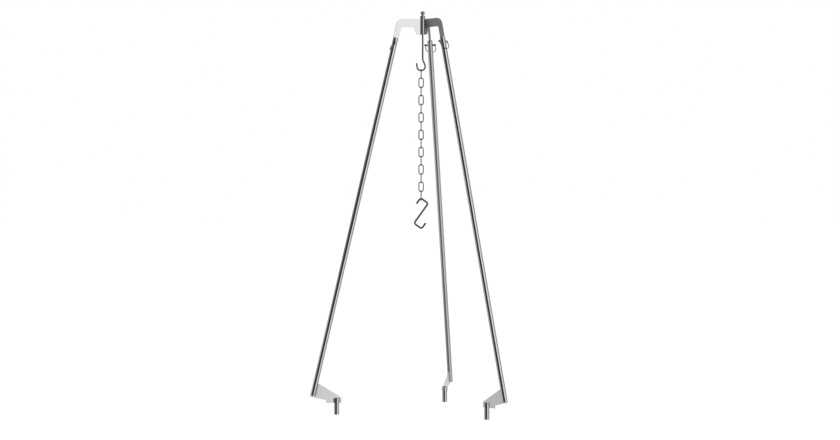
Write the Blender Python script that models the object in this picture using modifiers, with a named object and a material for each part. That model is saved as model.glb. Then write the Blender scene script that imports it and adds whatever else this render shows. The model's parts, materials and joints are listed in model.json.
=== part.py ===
"""Cooking tripod: a welded hub, three slip-on tube legs, and a swivelling hook with a chain and an S hook.

Metres, +Z up.  The tripod stands on z = 0 with the middle of its footprint at the origin, and -Y is its front.
A leg's own frame has +X pointing away from the hub's axis and +Y square to the leg's upright plane.
"""
import math

import bmesh
import bpy
from mathutils import Vector

# Legs
LEG_NAMES = ("rear", "right", "left")
FIRST_LEG_AZIMUTH = math.radians(15.3)  # clockwise from +Y, seen from above
LEG_LEAN = math.radians(13.43)
LEG_TUBE_LENGTH = 1.384
TUBE_FOOT_RADIUS = 0.4261  # from the hub's axis to the middle of the tube's lower end
TUBE_FOOT_HEIGHT = 0.0724
TUBE_DIAMETER = 0.020
TUBE_WALL = 0.0015

# Clearances
TOUCH_GAP = 0.0003  # between pieces that touch or are welded
RUN_GAP = 0.0004  # beside pieces that turn or slide

# Hub sleeve, and the collar, knob and rod that turn in it
SLEEVE_DIAMETER = 0.017
SLEEVE_STANDS_PROUD = 0.001  # above the arms' top edges
TURNED_EDGE = 0.0006  # chamfer
COLLAR_DIAMETER = 0.019
COLLAR_HEIGHT = 0.0107
KNOB_DIAMETER = 0.016
KNOB_NECK_DIAMETER = 0.0095
KNOB_NECK_HEIGHT = 0.0037
ROD_DIAMETER = 0.006
ROD_IN_KNOB = 0.009

# Arms, cut from flat plate
PLATE_THICKNESS = 0.003
ARM_RISE = 0.0733  # from the tubes' upper ends to the arms' top edges
ARM_BEAM_DEPTH = 0.0325
ARM_SHANK_WIDTH = 0.022
ARM_OUTER_CORNER_RADIUS = 0.028
ARM_INNER_CORNER_RADIUS = 0.006
GUSSET_DEPTH = 0.027  # below the beam, down to the sleeve's lower end
GUSSET_WIDTH_TOP = 0.0247
GUSSET_WIDTH_BOTTOM = 0.0142
TONGUE_LENGTH = 0.045

# Locking pins and their bails
PIN_DIAMETER = 0.008
PIN_LENGTH = 0.045
PIN_BELOW_TUBE_END = 0.0175
PIN_END_TO_HOLE = 0.0035
BAIL_WIRE_DIAMETER = 0.003
BAIL_DEPTH = 0.033  # from the pin's axis to the wire's middle at the bottom of the bow
BAIL_BOW_RADIUS = 0.0205
BAIL_CORNER_RADIUS = 0.002
BAIL_END_STANDS_PROUD = 0.0015

# Foot plates, sockets and pegs
PEG_INSET = 0.0914  # from the middle of the tube's lower end inwards to the peg's axis
PEG_DIAMETER = 0.020
PEG_WALL = 0.0015
PEG_END_THICKNESS = 0.003
PEG_CHAMFER = 0.001
SOCKET_DIAMETER = 0.023
SOCKET_HEIGHT = 0.018
FOOT_PLATE_DROP = 0.0286  # from the middle of the tube's lower end down to the plate's lower edge
SOCKET_STANDS_PROUD = 0.0003  # below the plate's lower edge
FOOT_TAB_INWARD = 0.0187  # from the peg's axis
FOOT_TAB_OUTWARD = 0.0403  # from the peg's axis
FOOT_TIP_DEPTH = 0.0199  # the plate's depth at its inner end
FOOT_PLATE_UP_TUBE = 0.0503
FOOT_LIP = 0.0053  # below the tube's lower end

# Hook on the swivelling rod
HOOK_BELOW_SLEEVE = 0.1353537  # down to the wire's middle at the lowest point of the bowl
HOOK_RADIUS = 0.0155
HOOK_OFFSET = 0.0060  # the bowl's middle lies to the left of the rod
HOOK_NECK_ANGLE = math.radians(22.5)
HOOK_NECK_RADIUS = 0.012
HOOK_TIP_LENGTH = 0.0147
HOOK_TIP_FLARE = math.radians(6.0)

# Chain
CHAIN_LINKS = 15
CHAIN_WIRE = 0.004
LINK_INNER_LENGTH = 0.0332
LINK_INNER_WIDTH = 0.0127

# S hook with squared ends
S_WIRE = 0.007
S_HALF_LENGTH = 0.0465  # from its middle to the middle of the wire's cross runs
S_WIDTH = 0.0355
S_BEND_RADIUS = 0.008
S_TIP_LENGTH = 0.027

# Roundness
TURNED_STEPS = 28
HOLE_STEPS = 20
WIRE_BEVEL_RESOLUTION = 2
LINK_BOW_STEPS = 6
SHARP_ANGLE = math.radians(35.0)
MERGE = 0.00001
CUT_PAST = 0.002

LEG_AZIMUTHS = [FIRST_LEG_AZIMUTH + 2 * math.pi * k / len(LEG_NAMES) for k in range(len(LEG_NAMES))]
TUBE_RADIUS = TUBE_DIAMETER / 2
BORE_RADIUS = TUBE_RADIUS - TUBE_WALL
HALF_PLATE = PLATE_THICKNESS / 2
PIN_RADIUS = PIN_DIAMETER / 2
PIN_HEIGHT = LEG_TUBE_LENGTH - PIN_BELOW_TUBE_END
ARM_TOP = TUBE_FOOT_HEIGHT + LEG_TUBE_LENGTH * math.cos(LEG_LEAN) + ARM_RISE
BEAM_BOTTOM = ARM_TOP - ARM_BEAM_DEPTH
SLEEVE_TOP = ARM_TOP + SLEEVE_STANDS_PROUD
SLEEVE_BOTTOM = BEAM_BOTTOM - GUSSET_DEPTH
HOOK_HEIGHT = SLEEVE_BOTTOM - HOOK_BELOW_SLEEVE
PEG_FROM_HUB = TUBE_FOOT_RADIUS - PEG_INSET
FOOT_PLATE_BOTTOM = TUBE_FOOT_HEIGHT - FOOT_PLATE_DROP
SOCKET_BOTTOM = FOOT_PLATE_BOTTOM - SOCKET_STANDS_PROUD
SOCKET_TOP = SOCKET_BOTTOM + SOCKET_HEIGHT
LINK_BOW_RADIUS = (LINK_INNER_WIDTH + CHAIN_WIRE) / 2
HALF_LINK = (LINK_INNER_LENGTH + CHAIN_WIRE) / 2


def material(name, colour, roughness):
    """A metal finish."""
    made = bpy.data.materials.new(name)
    made.use_nodes = True
    shader = made.node_tree.nodes["Principled BSDF"]
    shader.inputs["Base Color"].default_value = (*colour, 1.0)
    shader.inputs["Roughness"].default_value = roughness
    shader.inputs["Metallic"].default_value = 1.0
    made.diffuse_color = (*colour, 1.0)
    return made


def collection(name):
    made = bpy.data.collections.new(name)
    bpy.context.scene.collection.children.link(made)
    return made


for old in list(bpy.data.objects):
    bpy.data.objects.remove(old, do_unlink=True)

PARTS = collection("cooking_tripod")
CUTTERS = collection("cutters")
POLISHED = material("polished_tube", (0.60, 0.60, 0.61), 0.16)
SATIN = material("satin_plate", (0.52, 0.52, 0.53), 0.42)
TURNED = material("turned_steel", (0.58, 0.58, 0.59), 0.20)
BRIGHT_WIRE = material("bright_wire", (0.50, 0.50, 0.51), 0.28)


def place(obj, parent, location=(0, 0, 0), rotation=(0, 0, 0), finish=None):
    """Links an object to the tripod's collection, under its parent and in its finish."""
    PARTS.objects.link(obj)
    obj.parent = parent
    obj.location = location
    obj.rotation_euler = rotation
    if finish:
        obj.data.materials.append(finish)
    return obj


def empty(name, parent, location=(0, 0, 0), rotation=(0, 0, 0)):
    return place(bpy.data.objects.new(name, None), parent, location, rotation)


def turned(name, profile, parent, finish, location=(0, 0, 0), rotation=(0, 0, 0)):
    """A turned solid about its own Z, from (radius, height) points that run down its outer side."""
    mesh = bpy.data.meshes.new(name)
    shape = bmesh.new()
    points = [shape.verts.new((radius, 0, height)) for radius, height in profile]
    for first, second in zip(points, points[1:]):
        shape.edges.new((first, second))
    if min(radius for radius, _ in profile) > MERGE:
        shape.edges.new((points[-1], points[0]))
    shape.to_mesh(mesh)
    shape.free()
    obj = place(bpy.data.objects.new(name, mesh), parent, location, rotation, finish)
    screw = obj.modifiers.new("turn", "SCREW")
    screw.steps = TURNED_STEPS
    screw.render_steps = TURNED_STEPS
    screw.use_merge_vertices = True
    screw.merge_threshold = MERGE
    solid = bpy.data.meshes.new_from_object(obj.evaluated_get(bpy.context.evaluated_depsgraph_get()))
    obj.modifiers.clear()
    obj.data = solid
    solid.shade_smooth()
    solid.set_sharp_from_angle(angle=SHARP_ANGLE)
    return obj


def curve_object(name, loops, closed, dimensions, parent, finish, location, rotation):
    """A POLY curve object with one spline for each list of 3-D points."""
    data = bpy.data.curves.new(name, "CURVE")
    data.dimensions = dimensions
    for points in loops:
        spline = data.splines.new("POLY")
        spline.points.add(len(points) - 1)
        for target, point in zip(spline.points, points):
            target.co = (*point, 1.0)
        spline.use_cyclic_u = closed
    return place(bpy.data.objects.new(name, data), parent, location, rotation, finish)


def wire(name, outline, diameter, parent, location=(0, 0, 0), rotation=(0, 0, 0), closed=False):
    """A round wire bent in its own XZ plane."""
    points = [(x, 0, z) for x, z in outline]
    obj = curve_object(name, [points], closed, "3D", parent, BRIGHT_WIRE, location, rotation)
    obj.data.bevel_depth = diameter / 2
    obj.data.bevel_resolution = WIRE_BEVEL_RESOLUTION
    obj.data.use_fill_caps = not closed
    return obj


def plate(name, outlines, parent):
    """A flat plate standing in its parent's XZ plane; the outlines after the first are its holes."""
    loops = [[(x, z, 0) for x, z in outline] for outline in outlines]
    obj = curve_object(name, loops, True, "2D", parent, SATIN, (0, 0, 0), (math.pi / 2, 0, 0))
    obj.data.fill_mode = "BOTH"
    obj.data.extrude = HALF_PLATE
    return obj


def cut(target, name, shape, location=(0, 0, 0), rotation=(0, 0, 0)):
    """Takes a shape, placed in the frame of the target's parent, away from the target."""
    mesh = bpy.data.meshes.new(name)
    shape.to_mesh(mesh)
    shape.free()
    cutter = bpy.data.objects.new(name, mesh)
    CUTTERS.objects.link(cutter)
    cutter.parent = target.parent
    cutter.location = location
    cutter.rotation_euler = rotation
    cutter.hide_render = True
    cutter.display_type = "WIRE"
    boolean = target.modifiers.new(name, "BOOLEAN")
    boolean.operation = "DIFFERENCE"
    boolean.solver = "EXACT"
    boolean.object = cutter


def block(low, high):
    """A box between two corners."""
    shape = bmesh.new()
    bmesh.ops.create_cube(shape, size=1.0)
    size = Vector(high) - Vector(low)
    bmesh.ops.scale(shape, vec=size, verts=shape.verts)
    bmesh.ops.translate(shape, vec=Vector(low) + size / 2, verts=shape.verts)
    return shape


def round_bar(diameter, length):
    """A cylinder along Z about the origin."""
    shape = bmesh.new()
    bmesh.ops.create_cone(shape, cap_ends=True, segments=HOLE_STEPS, radius1=diameter / 2, radius2=diameter / 2,
                          depth=length)
    return shape


def arc(centre, radius, start, end, steps):
    """Points on a circle from one angle to another, both ends included."""
    turn = (end - start) / steps
    return [(centre[0] + radius * math.cos(start + turn * k), centre[1] + radius * math.sin(start + turn * k))
            for k in range(steps + 1)]


def rounded(before, corner, after, radius, steps=6):
    """The arc that rounds one corner of an outline."""
    corner = Vector(corner)
    towards = (Vector(before) - corner).normalized()
    onwards = (Vector(after) - corner).normalized()
    half = towards.angle(onwards) / 2
    centre = corner + (towards + onwards).normalized() * radius / math.sin(half)
    first = towards * radius / math.tan(half) + corner - centre
    last = onwards * radius / math.tan(half) + corner - centre
    start = math.atan2(first.y, first.x)
    return arc(centre, radius, start, start - first.angle_signed(last), steps)


def leg_point(up, inward):
    """A point of a leg's upright plane as (x, z): up the tube from its lower end, and inward from its axis."""
    x = TUBE_FOOT_RADIUS - up * math.sin(LEG_LEAN) - inward * math.cos(LEG_LEAN)
    z = TUBE_FOOT_HEIGHT + up * math.cos(LEG_LEAN) - inward * math.sin(LEG_LEAN)
    return x, z


def beside_leg_at_height(inward, height):
    """Where the line beside a leg's axis, inward from it, reaches a height."""
    up = (height - TUBE_FOOT_HEIGHT + inward * math.sin(LEG_LEAN)) / math.cos(LEG_LEAN)
    return leg_point(up, inward)


def footprint_reach(x, y):
    """How far the tubes' lower ends reach from the hub's axis towards a unit direction."""
    reaches = []
    for azimuth in LEG_AZIMUTHS:
        outward = x * math.sin(azimuth) + y * math.cos(azimuth)
        sideways = x * math.cos(azimuth) - y * math.sin(azimuth)
        rim = math.hypot(TUBE_RADIUS * math.cos(LEG_LEAN) * outward, TUBE_RADIUS * sideways)
        reaches.append(TUBE_FOOT_RADIUS * outward + rim)
    return max(reaches)


def make_sleeve(hub):
    """The upright sleeve that the arms are welded to and the rod turns in."""
    bore = ROD_DIAMETER / 2 + RUN_GAP
    outer = SLEEVE_DIAMETER / 2
    profile = [(bore, SLEEVE_TOP), (outer - TURNED_EDGE, SLEEVE_TOP), (outer, SLEEVE_TOP - TURNED_EDGE),
               (outer, SLEEVE_BOTTOM + TURNED_EDGE), (outer - TURNED_EDGE, SLEEVE_BOTTOM), (bore, SLEEVE_BOTTOM)]
    turned("hub_sleeve", profile, hub, POLISHED)


def make_arm(name, leg):
    """One arm: a beam from the sleeve with a gusset under its root, bent down into the tongue that fits the tube."""
    root = SLEEVE_DIAMETER / 2 + TOUCH_GAP
    shank = ARM_SHANK_WIDTH / 2
    tongue = math.sqrt((BORE_RADIUS - RUN_GAP) ** 2 - HALF_PLATE ** 2)
    seat = LEG_TUBE_LENGTH + TOUCH_GAP
    tip = LEG_TUBE_LENGTH - TONGUE_LENGTH
    beam_root = (root, ARM_TOP)
    outer_corner = beside_leg_at_height(-shank, ARM_TOP)
    outer_seat = leg_point(seat, -shank)
    inner_seat = leg_point(seat, shank)
    inner_corner = beside_leg_at_height(shank, BEAM_BOTTOM)
    gusset_head = (root + GUSSET_WIDTH_TOP, BEAM_BOTTOM)
    outline = [beam_root]
    outline += rounded(beam_root, outer_corner, outer_seat, ARM_OUTER_CORNER_RADIUS, steps=8)
    outline += [outer_seat, leg_point(seat, -tongue), leg_point(tip, -tongue), leg_point(tip, tongue),
                leg_point(seat, tongue), inner_seat]
    outline += rounded(inner_seat, inner_corner, gusset_head, ARM_INNER_CORNER_RADIUS)
    outline += [gusset_head, (root + GUSSET_WIDTH_BOTTOM, SLEEVE_BOTTOM), (root, SLEEVE_BOTTOM)]
    pin_hole = arc(leg_point(PIN_HEIGHT, 0), PIN_RADIUS + TOUCH_GAP, 0, 2 * math.pi, HOLE_STEPS)[:-1]
    plate("hub_arm_" + name, [outline, pin_hole], leg)


def make_tube(name, leg_axis):
    """A leg tube with a cross hole for the locking pin and a slot in its inner wall for the foot plate."""
    profile = [(TUBE_RADIUS, LEG_TUBE_LENGTH), (TUBE_RADIUS, 0), (BORE_RADIUS, 0), (BORE_RADIUS, LEG_TUBE_LENGTH)]
    tube = turned("leg_tube_" + name, profile, leg_axis, POLISHED)
    cut(tube, "pin_hole_" + name, round_bar(PIN_DIAMETER + 2 * TOUCH_GAP, TUBE_DIAMETER + 2 * CUT_PAST),
        (0, 0, PIN_HEIGHT), (math.pi / 2, 0, 0))
    half_slot = HALF_PLATE + TOUCH_GAP
    cut(tube, "plate_slot_" + name,
        block((-TUBE_RADIUS - CUT_PAST, -half_slot, -CUT_PAST), (0, half_slot, FOOT_PLATE_UP_TUBE + TOUCH_GAP)))


def make_foot_plate(name, leg):
    """The plate that stands in the tube's slot and straddles the peg's socket."""
    far_side = TOUCH_GAP - math.sqrt(BORE_RADIUS ** 2 - HALF_PLATE ** 2)
    lip = leg_point(-FOOT_LIP, far_side)
    inner_end = PEG_FROM_HUB - FOOT_TAB_INWARD
    step = PEG_FROM_HUB + FOOT_TAB_OUTWARD
    step_head = leg_point(-FOOT_LIP, far_side + (lip[0] - step) / math.cos(LEG_LEAN))
    notch = SOCKET_DIAMETER / 2 + TOUCH_GAP
    notch_top = SOCKET_TOP + TOUCH_GAP
    outline = [lip, leg_point(FOOT_PLATE_UP_TUBE, far_side), leg_point(FOOT_PLATE_UP_TUBE, TUBE_RADIUS),
               (inner_end, FOOT_PLATE_BOTTOM + FOOT_TIP_DEPTH), (inner_end, FOOT_PLATE_BOTTOM),
               (PEG_FROM_HUB - notch, FOOT_PLATE_BOTTOM), (PEG_FROM_HUB - notch, notch_top),
               (PEG_FROM_HUB + notch, notch_top), (PEG_FROM_HUB + notch, FOOT_PLATE_BOTTOM),
               (step, FOOT_PLATE_BOTTOM), step_head]
    plate("foot_plate_" + name, [outline], leg)


def make_peg(name, leg):
    """The socket in the foot plate's notch, and the capped tube peg in it that stands on the ground."""
    radius = PEG_DIAMETER / 2
    socket_bore = radius + TOUCH_GAP
    socket_radius = SOCKET_DIAMETER / 2
    socket = [(socket_bore, SOCKET_TOP), (socket_radius, SOCKET_TOP), (socket_radius, SOCKET_BOTTOM),
              (socket_bore, SOCKET_BOTTOM)]
    turned("foot_socket_" + name, socket, leg, POLISHED, (PEG_FROM_HUB, 0, 0))
    bore = radius - PEG_WALL
    peg = [(0, PEG_END_THICKNESS), (bore, PEG_END_THICKNESS), (bore, SOCKET_TOP), (radius, SOCKET_TOP),
           (radius, PEG_CHAMFER), (radius - PEG_CHAMFER, 0), (0, 0)]
    turned("foot_peg_" + name, peg, leg, TURNED, (PEG_FROM_HUB, 0, 0))


def bail_path(hole):
    """The bail's outline: down through one end of the pin, round the bow, and up through the other end."""
    top = PIN_RADIUS + BAIL_END_STANDS_PROUD
    centre = (0.0, BAIL_BOW_RADIUS - BAIL_DEPTH)
    rise = math.acos(hole / BAIL_BOW_RADIUS)
    bow = arc(centre, BAIL_BOW_RADIUS, rise, -math.pi - rise, 18)
    corner = rounded((hole, top), bow[0], bow[1], BAIL_CORNER_RADIUS, steps=3)
    far_corner = [(-x, z) for x, z in reversed(corner)]
    return [(hole, top)] + corner + bow[1:-1] + far_corner + [(-hole, top)]


def make_pin(name, leg_axis):
    """The locking pin across a tube's upper end, with the wire bail through it resting on the tube's outer side."""
    rest = math.asin((TUBE_RADIUS + TOUCH_GAP + BAIL_WIRE_DIAMETER / 2) / BAIL_DEPTH)
    pivot = empty("pin_pivot_" + name, leg_axis, (0, 0, PIN_HEIGHT), (0, -rest, 0))
    half = PIN_LENGTH / 2
    profile = [(0, half), (PIN_RADIUS - TURNED_EDGE, half), (PIN_RADIUS, half - TURNED_EDGE),
               (PIN_RADIUS, TURNED_EDGE - half), (PIN_RADIUS - TURNED_EDGE, -half), (0, -half)]
    pin = turned("lock_pin_" + name, profile, pivot, TURNED, (0, 0, 0), (math.pi / 2, 0, 0))
    hole = half - PIN_END_TO_HOLE
    for end, side in (("a", 1), ("b", -1)):
        cut(pin, "bail_hole_" + end + "_" + name,
            round_bar(BAIL_WIRE_DIAMETER + 2 * TOUCH_GAP, PIN_DIAMETER + 2 * CUT_PAST), (0, side * hole, 0))
    wire("pin_bail_" + name, bail_path(hole), BAIL_WIRE_DIAMETER, pivot, (0, 0, 0), (0, 0, math.pi / 2))


def make_leg(name, hub, azimuth):
    leg = empty("leg_plane_" + name, hub, (0, 0, 0), (0, 0, math.pi / 2 - azimuth))
    leg_axis = empty("leg_axis_" + name, leg, (TUBE_FOOT_RADIUS, 0, TUBE_FOOT_HEIGHT), (0, -LEG_LEAN, 0))
    make_arm(name, leg)
    make_tube(name, leg_axis)
    make_foot_plate(name, leg)
    make_peg(name, leg)
    make_pin(name, leg_axis)


def hook_path(top):
    """The rod's outline, from its upper end down the hub's axis and round the bowl to the tip."""
    centre = (-HOOK_OFFSET, HOOK_HEIGHT + HOOK_RADIUS)
    bowl = arc(centre, HOOK_RADIUS, HOOK_NECK_ANGLE, HOOK_TIP_FLARE - math.pi, 14)
    knee = (0.0, bowl[0][1] + bowl[0][0] / math.tan(HOOK_NECK_ANGLE))
    neck = rounded((0.0, top), knee, bowl[0], HOOK_NECK_RADIUS, steps=4)
    tip = (bowl[-1][0] - HOOK_TIP_LENGTH * math.sin(HOOK_TIP_FLARE),
           bowl[-1][1] + HOOK_TIP_LENGTH * math.cos(HOOK_TIP_FLARE))
    return [(0.0, top)] + neck + bowl + [tip]


def make_swivel(hub):
    """The stop collar, the knob and the hooked rod, which turn together in the sleeve."""
    swivel = empty("swivel_axis", hub)
    bore = ROD_DIAMETER / 2 + TOUCH_GAP
    outer = COLLAR_DIAMETER / 2
    low = SLEEVE_TOP + TOUCH_GAP
    high = low + COLLAR_HEIGHT
    collar = [(bore, high), (outer - TURNED_EDGE, high), (outer, high - TURNED_EDGE), (outer, low + TURNED_EDGE),
              (outer - TURNED_EDGE, low), (bore, low)]
    turned("stop_collar", collar, swivel, TURNED)

    neck = KNOB_NECK_DIAMETER / 2
    ball = KNOB_DIAMETER / 2
    neck_low = high + TOUCH_GAP
    ball_centre = neck_low + KNOB_NECK_HEIGHT + math.sqrt(ball ** 2 - neck ** 2)
    rod_top = neck_low + ROD_IN_KNOB
    knob = [(0, ball_centre + ball)]
    knob += arc((0, ball_centre), ball, math.pi / 2, -math.acos(neck / ball), 12)[1:]
    knob += [(neck, neck_low), (bore, neck_low), (bore, rod_top + TOUCH_GAP), (0, rod_top + TOUCH_GAP)]
    turned("top_knob", knob, swivel, TURNED)
    wire("hook_rod", hook_path(rod_top), ROD_DIAMETER, swivel)
    return swivel


def link_path():
    """One chain link's outline about its middle."""
    straight = HALF_LINK - LINK_BOW_RADIUS
    upper = arc((0, straight), LINK_BOW_RADIUS, 0, math.pi, LINK_BOW_STEPS)
    lower = arc((0, -straight), LINK_BOW_RADIUS, math.pi, 2 * math.pi, LINK_BOW_STEPS)
    return upper + lower


def make_chain(swivel):
    """The links, each hanging on the wire of the one above and turned a quarter turn from it."""
    parent = swivel
    seat = (-HOOK_OFFSET, 0, HOOK_HEIGHT)
    upper_wire = ROD_DIAMETER
    for k in range(CHAIN_LINKS):
        name = "chain_link_%02d" % (k + 1)
        pivot = empty(name + "_pivot", parent, seat)
        crown = (upper_wire + CHAIN_WIRE) / 2 + TOUCH_GAP
        quarter_turn = math.pi / 2 if k % 2 == 0 else 0.0
        wire(name, link_path(), CHAIN_WIRE, pivot, (0, 0, crown - HALF_LINK), (0, 0, quarter_turn), closed=True)
        seat = (0, 0, crown - 2 * HALF_LINK)
        upper_wire = CHAIN_WIRE
        parent = pivot
    return parent, seat


def s_hook_path():
    """The S hook's outline about its middle, with one squared end to the left above and one to the right below."""
    middle = (0.0, 0.0)
    inner = (0.0, -S_HALF_LENGTH)
    outer = (S_WIDTH, -S_HALF_LENGTH)
    tip = (S_WIDTH, S_TIP_LENGTH - S_HALF_LENGTH)
    lower = rounded(middle, inner, outer, S_BEND_RADIUS) + rounded(inner, outer, tip, S_BEND_RADIUS) + [tip]
    upper = [(-x, -z) for x, z in reversed(lower)]
    return upper + lower


def make_s_hook(parent, seat):
    """The S hook, hung by the bend beside its upper tip, so that its middle is straight below the last link."""
    pivot = empty("s_hook_pivot", parent, seat)
    bend_below_seat = S_BEND_RADIUS - S_WIRE / 2 - CHAIN_WIRE / 2 - TOUCH_GAP
    across = S_WIDTH - S_BEND_RADIUS
    along = S_HALF_LENGTH - S_BEND_RADIUS
    tilt = math.atan2(across, along)
    wire("s_hook", s_hook_path(), S_WIRE, pivot, (0, 0, -bend_below_seat - math.hypot(across, along)), (0, tilt, 0))


def build():
    middle_x = (footprint_reach(-1, 0) - footprint_reach(1, 0)) / 2
    middle_y = (footprint_reach(0, -1) - footprint_reach(0, 1)) / 2
    hub = empty("hub_axis", None, (middle_x, middle_y, 0))
    make_sleeve(hub)
    for name, azimuth in zip(LEG_NAMES, LEG_AZIMUTHS):
        make_leg(name, hub, azimuth)
    last_link, seat = make_chain(make_swivel(hub))
    make_s_hook(last_link, seat)


build()
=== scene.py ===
"""Looks for the packed cooking tripod: polished tubes, flat plates, turned pieces, bent wires, welds and studio."""
import json
import math

import bpy
from mathutils import Matrix, Vector

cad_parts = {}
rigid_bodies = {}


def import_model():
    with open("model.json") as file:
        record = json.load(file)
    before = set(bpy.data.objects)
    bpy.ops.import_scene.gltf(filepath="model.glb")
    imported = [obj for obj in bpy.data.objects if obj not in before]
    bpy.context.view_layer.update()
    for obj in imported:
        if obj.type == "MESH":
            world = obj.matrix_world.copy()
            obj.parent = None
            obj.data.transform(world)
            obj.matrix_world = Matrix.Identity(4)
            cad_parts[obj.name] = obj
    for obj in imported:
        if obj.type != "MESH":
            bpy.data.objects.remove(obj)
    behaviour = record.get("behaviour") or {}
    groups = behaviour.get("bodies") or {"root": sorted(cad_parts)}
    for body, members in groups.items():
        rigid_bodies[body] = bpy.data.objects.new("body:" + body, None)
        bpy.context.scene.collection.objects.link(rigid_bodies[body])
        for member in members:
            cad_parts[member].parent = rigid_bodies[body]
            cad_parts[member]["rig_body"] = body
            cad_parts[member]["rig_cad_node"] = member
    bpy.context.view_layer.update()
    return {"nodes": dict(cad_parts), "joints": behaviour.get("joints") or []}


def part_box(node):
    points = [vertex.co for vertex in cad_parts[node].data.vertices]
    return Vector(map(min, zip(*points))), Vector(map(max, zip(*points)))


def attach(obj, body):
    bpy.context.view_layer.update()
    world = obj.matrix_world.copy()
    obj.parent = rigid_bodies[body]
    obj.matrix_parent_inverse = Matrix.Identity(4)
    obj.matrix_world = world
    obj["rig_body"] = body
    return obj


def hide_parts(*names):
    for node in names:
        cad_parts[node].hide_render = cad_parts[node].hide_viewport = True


bl_info = {
    "name": "Cooking Tripod Looks",
    "version": (1, 0, 0),
    "blender": (4, 5, 0),
    "location": "3D View > Sidebar > Tripod",
    "description": "Builds the visible pieces of a cooking tripod round its packed frame, and its studio",
    "category": "Object",
}

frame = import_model()
JOINTS = {joint["name"]: joint for joint in frame["joints"]}
HUB = Vector(JOINTS["hook_swivel"]["pos_m"])
HUB_AXIS = Matrix.Translation((HUB.x, HUB.y, 0))
LEGS = ("rear", "right", "left")
LINKS = sorted(node for node in frame["nodes"] if node.startswith("chain_link_"))
UP = Vector((0, 0, 1))
ACROSS = Vector((1, 0, 0))
DEPTH = Vector((0, 1, 0))

# How finely round shapes are divided
TURNED_SIDES = 72
WIRE_SIDES = 24
HOLE_SIDES = 48
TENT_SIDES = 96
KNOB_STEPS = 26
BEND_STEP = math.radians(9)

# What the mesh tools work to
SMOOTH_ANGLE = math.radians(35)
BEVEL_ANGLE = math.radians(40)
FLAT_ANGLE = math.radians(1)
BEVEL_SEGMENTS = 3
MERGE = 0.00001
CUT_PAST = 0.002  # how far a cutter reaches past what it cuts

# A wire's rounded end: its length as a share of the wire's radius, where its shoulder lies along it, and the shares
# of the wire's size at the tip and the shoulder
NOSE_LENGTH = 0.35
NOSE_SHOULDER = 0.3
TIP_SIZE = 0.62
SHOULDER_SIZE = 0.86

# Small forms of the turned pieces and the links
NECK_EDGE = 0.0003
CHAMFER_CORNER = 0.3  # where the corner in a peg's rounded chamfer lies, as a share of the chamfer
SWELL_SHARE = 0.2  # the share of a link's weld over which the wire swells, and over which it thins again

# A weld bead: the shares of a ripple's pitch that rise, crest and fall, and the bead's size at crest and ends
RIPPLE_RISE = 0.35
RIPPLE_CREST = 0.4
RIPPLE_FALL = 0.25
CREST_SIZE = 0.96
BEAD_START = 0.55
BEAD_END = 0.5
BEAD_TAIL = 0.2
HUB_BEAD_LIFT = 0.3  # from the faces that a bead joins to its middle, as a share of its radius
FOOT_BEAD_LIFT = 0.2
BEAD_INSET = 0.002  # from the end of a seam to the end of its bead

# The steels: the grain in noise cells a metre along X, Y and Z of the piece, the clouds and the heat tint
LEG_TUBE_GRAIN = (1400, 1400, 30)
SHORT_TUBE_GRAIN = (300, 300, 1800)
PLATE_GRAIN = (25, 1300, 1300)
TURNED_GRAIN = (200, 200, 2600)
WIRE_GRAIN = (1500, 1500, 90)
LINK_GRAIN = (700, 700, 700)
S_HOOK_GRAIN = (900, 900, 120)
WELD_GRAIN = (900, 900, 900)
GRAIN_DETAIL = 5.0
GRAIN_ROUGHNESS = 0.65
GRAIN_DEPTH = 0.0001
CLOUD_SCALE = 14.0
CLOUD_DETAIL = 3.0
CLOUD_SHARE = 0.35  # how much the clouds count beside the grain in the polish
TINT_SCALE = 160.0

# The studio
WHITE = (1, 1, 1, 1)
PALE = (0.9, 0.9, 0.9, 1)
FLOOR_SIZE = 90
FLOOR_PARTS = 8
FLOOR_DROP = 0.0005  # below the pegs, so that no faces coincide
EVEN_BLEND = 0.5
CEILING_FADE = 0.25  # how far the ceiling's change of light reaches either way, as a share of the tent's radius
KEY_PLACE = (1.2, -1.4, 4.2)  # from the foot of the hub's axis
KEY_TARGET_HEIGHT = 0.8
KEY_SIZE = 1.2
SENSOR_WIDTH = 36
CAMERA_REACH = 200


def length(label, words, default):
    """A length in metres for the panel."""
    return bpy.props.FloatProperty(name=label, description=words, default=default, min=0, precision=5,
                                   unit="LENGTH")


def angle(label, words, degrees):
    """An angle for the panel."""
    return bpy.props.FloatProperty(name=label, description=words, default=math.radians(degrees), unit="ROTATION")


def share(label, words, default, highest=1.0):
    """A plain number for the panel."""
    return bpy.props.FloatProperty(name=label, description=words, default=default, min=0, max=highest)


def colour(label, words, default):
    """A colour for the panel."""
    return bpy.props.FloatVectorProperty(name=label, description=words, default=default, min=0, max=1, size=3,
                                         subtype="COLOR")


class TripodLegSizes(bpy.types.PropertyGroup):
    """Sizes of the leg tubes."""
    diameter: length("Tube Diameter", "Outside diameter of a leg tube", 0.020)
    wall: length("Tube Wall", "Wall thickness of a leg tube", 0.0015)
    tube_length: length("Tube Length", "Length of a leg tube", 1.384)
    lean: angle("Lean", "How far a leg leans from upright", 13.43)
    pin_from_end: length("Pin From End", "From a tube's upper end down to the middle of its pin", 0.0175)
    slot_height: length("Slot Height", "How far the foot plate's slot runs up the tube", 0.0503)
    plate: length("Plate Thickness", "Thickness of the hub and foot plates", 0.003)
    clearance: length("Clearance", "Gap between pieces that touch", 0.0003)
    edge: length("Broken Edge", "Width of the broken edge at a tube's ends", 0.00035)


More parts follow.
